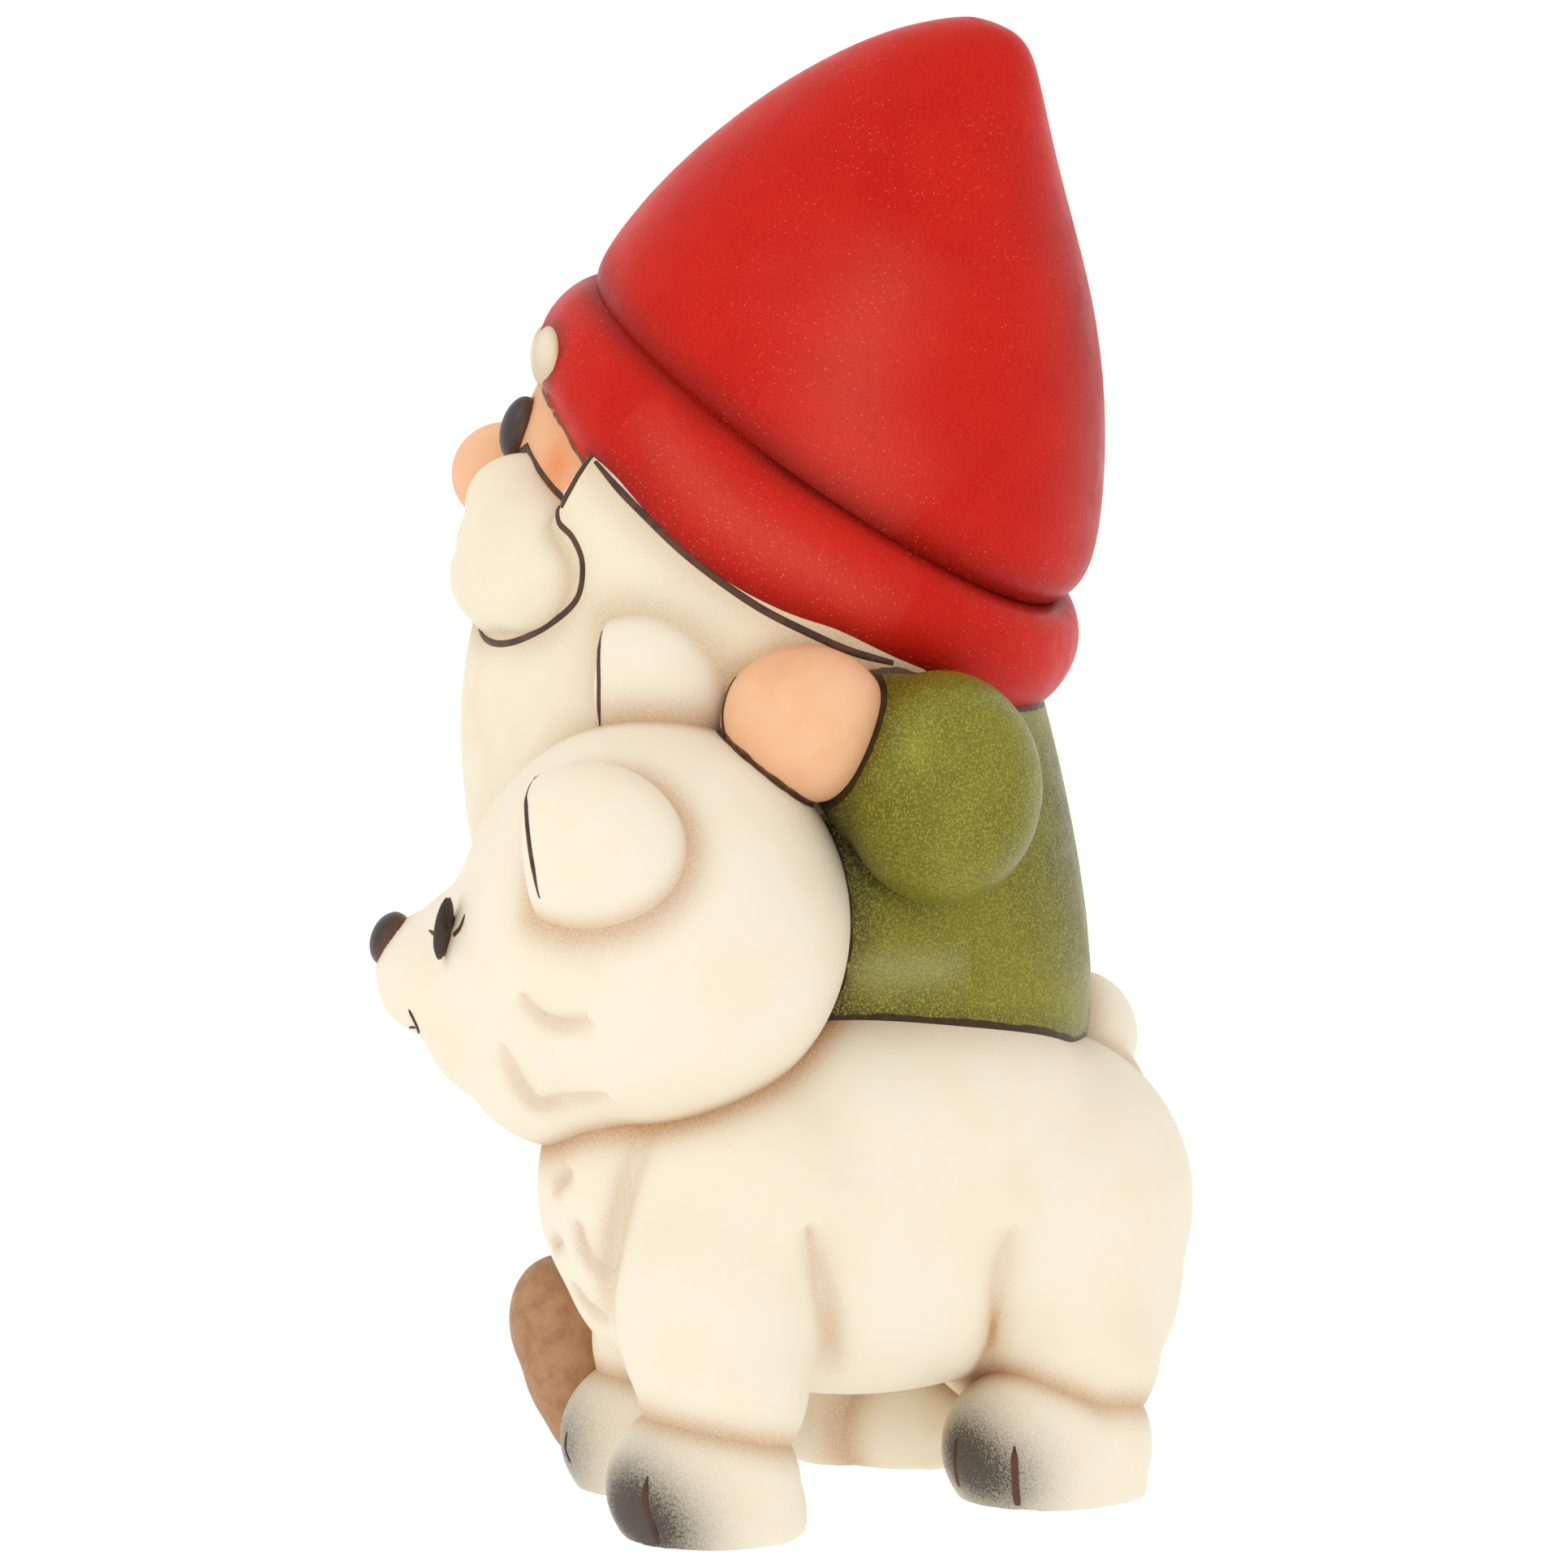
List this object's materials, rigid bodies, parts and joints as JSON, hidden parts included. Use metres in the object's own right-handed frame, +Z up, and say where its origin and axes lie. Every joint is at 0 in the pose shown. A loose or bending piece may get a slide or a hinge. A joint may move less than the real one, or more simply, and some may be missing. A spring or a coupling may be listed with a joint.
{
  "type": "ceramic tomte gnome figurine",
  "caption": "Hand-painted ceramic figurine: a bearded gnome in a tall tilted hat sits side-saddle on a small white fox-like animal and rests a hand on its head.",
  "frame": {"origin": "on the table, under the middle of the whole figurine's footprint", "axes": "+Z up; the gnome faces -Y; +X towards the gnome's left, where the fox's head is"},
  "size_m": [0.117, 0.0963, 0.1899],
  "materials": {
    "hat_red": "satin red glaze with fine gold mica flecks",
    "coat_green": "metallic moss green with gold mica flecks",
    "skin": "matt skin-coloured engobe with airbrushed blush",
    "beard_cream": "matt cream engobe with airbrushed tan shading",
    "fox_cream": "matt cream engobe with airbrushed tan and grey shading",
    "boot_brown": "matt tan-brown engobe",
    "eye_black": "gloss black glaze"
  },
  "bodies": {
    "root": {"fox_belly_web": "fox_cream", "fox_bib": "fox_cream", "fox_cheek_tuft_left": "fox_cream", "fox_cheek_tuft_right": "fox_cream", "fox_ear_left": "fox_cream", "fox_ear_right": "fox_cream", "fox_eye_left": "eye_black", "fox_eye_right": "eye_black", "fox_head": "fox_cream", "fox_leg_front_left": "fox_cream", "fox_leg_front_right": "fox_cream", "fox_leg_hind_left": "fox_cream", "fox_leg_hind_right": "fox_cream", "fox_muzzle": "fox_cream", "fox_nose": "eye_black", "fox_paw_front_left": "fox_cream", "fox_paw_front_right": "fox_cream", "fox_paw_hind_left": "fox_cream", "fox_paw_hind_right": "fox_cream", "fox_tail": "fox_cream", "fox_torso": "fox_cream", "gnome_beard": "beard_cream", "gnome_boot_left": "boot_brown", "gnome_boot_right": "boot_brown", "gnome_coat": "coat_green", "gnome_eye_left": "eye_black", "gnome_eye_right": "eye_black", "gnome_forelock": "beard_cream", "gnome_hand_left": "skin", "gnome_hand_right": "skin", "gnome_head": "skin", "gnome_moustache_left": "beard_cream", "gnome_moustache_right": "beard_cream", "gnome_nose": "skin", "gnome_sleeve_left": "coat_green", "gnome_sleeve_right": "coat_green", "gnome_trouser_leg_left": "coat_green", "gnome_trouser_leg_right": "coat_green", "hat_brim": "hat_red", "hat_crown": "hat_red"}
  },
  "joints": []
}
